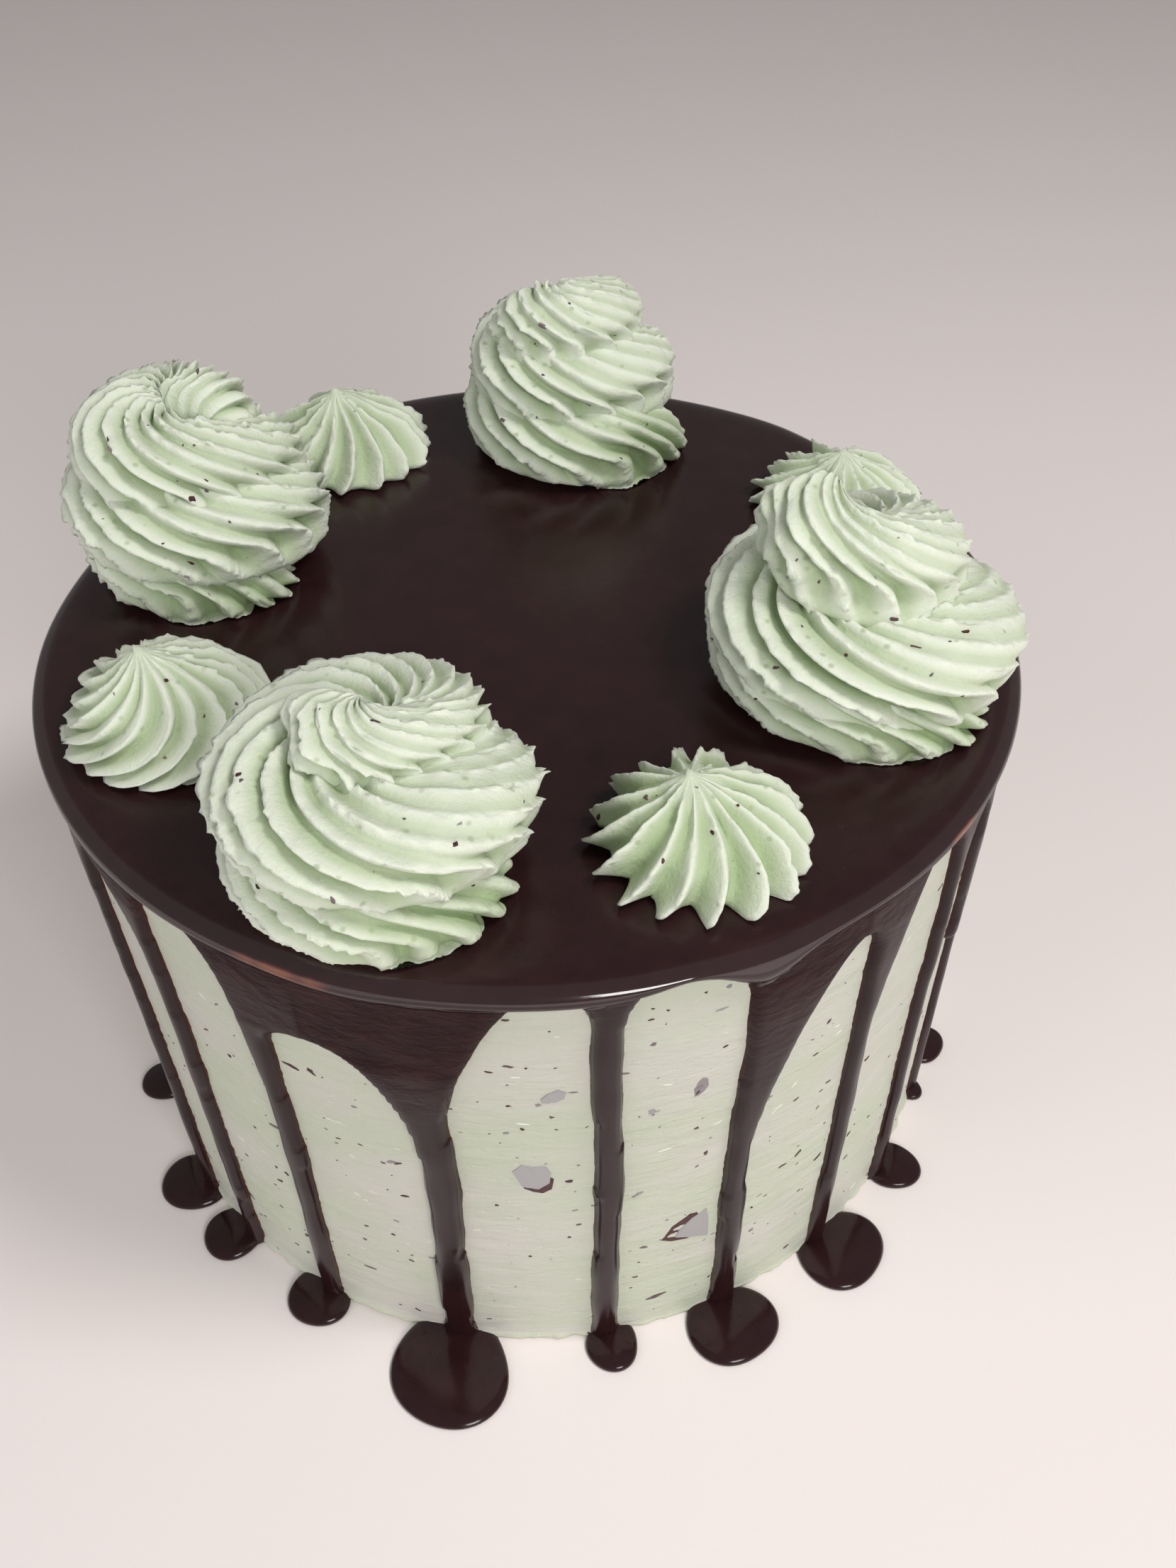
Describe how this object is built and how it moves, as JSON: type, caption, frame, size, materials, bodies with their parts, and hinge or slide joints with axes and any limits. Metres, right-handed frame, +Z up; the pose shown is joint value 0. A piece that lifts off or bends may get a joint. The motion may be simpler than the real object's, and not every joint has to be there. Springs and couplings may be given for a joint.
{
  "type": "mint chocolate chip cake",
  "caption": "Tall round cake coated in flecked mint buttercream, with a dark ganache top that drips and pools at the foot, and piped swirls and stars round the top.",
  "frame": {"origin": "middle of the cake's flat underside, on the surface it stands on", "axes": "+Z up; -Y towards the side that the picture shows; +X to the right as the picture shows it"},
  "size_m": [0.1859, 0.1973, 0.1507],
  "materials": {
    "mint_buttercream": "smoothed mint buttercream with dark chocolate flecks, satin",
    "piped_buttercream": "piped mint buttercream with dark chocolate flecks, satin",
    "ganache": "set dark chocolate ganache, semi-gloss"
  },
  "bodies": {
    "root": {"cake_body": "mint_buttercream", "ganache": "ganache", "swirl_front": "piped_buttercream", "swirl_right": "piped_buttercream", "swirl_back": "piped_buttercream", "swirl_left": "piped_buttercream", "star_front": "piped_buttercream", "star_right": "piped_buttercream", "star_back": "piped_buttercream", "star_left": "piped_buttercream"}
  },
  "joints": []
}
